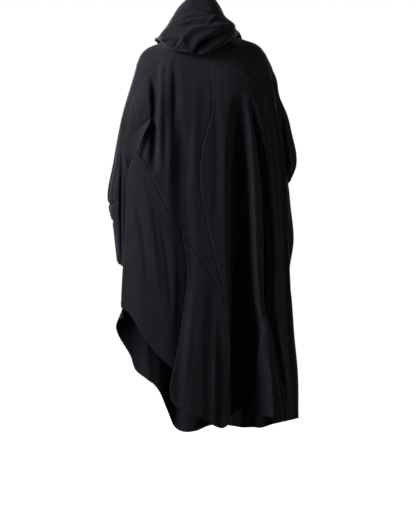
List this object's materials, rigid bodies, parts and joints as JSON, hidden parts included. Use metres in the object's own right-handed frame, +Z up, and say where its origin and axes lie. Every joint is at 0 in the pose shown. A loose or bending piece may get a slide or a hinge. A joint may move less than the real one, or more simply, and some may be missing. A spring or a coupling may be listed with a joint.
{
  "type": "hooded poncho",
  "caption": "Long felted poncho in its worn shape, with a slanting uneven hem, a wide cut sleeve on each side and a soft cowl hood lying down.",
  "frame": {"origin": "middle of the neck opening at the height where the cloth rests on the shoulders", "axes": "+Z up, -Y towards the back panel, +X towards the wearer's right"},
  "size_m": [0.6686, 0.5492, 1.5566],
  "materials": {
    "wool": "felted wool, near-black, soft and matt"
  },
  "bodies": {
    "root": {"back_centre": "wool", "back_left": "wool", "back_middle": "wool", "back_right": "wool", "side_right": "wool", "front": "wool", "yoke_left": "wool", "sleeve_left": "wool", "sleeve_right": "wool", "hood": "wool"}
  },
  "joints": []
}
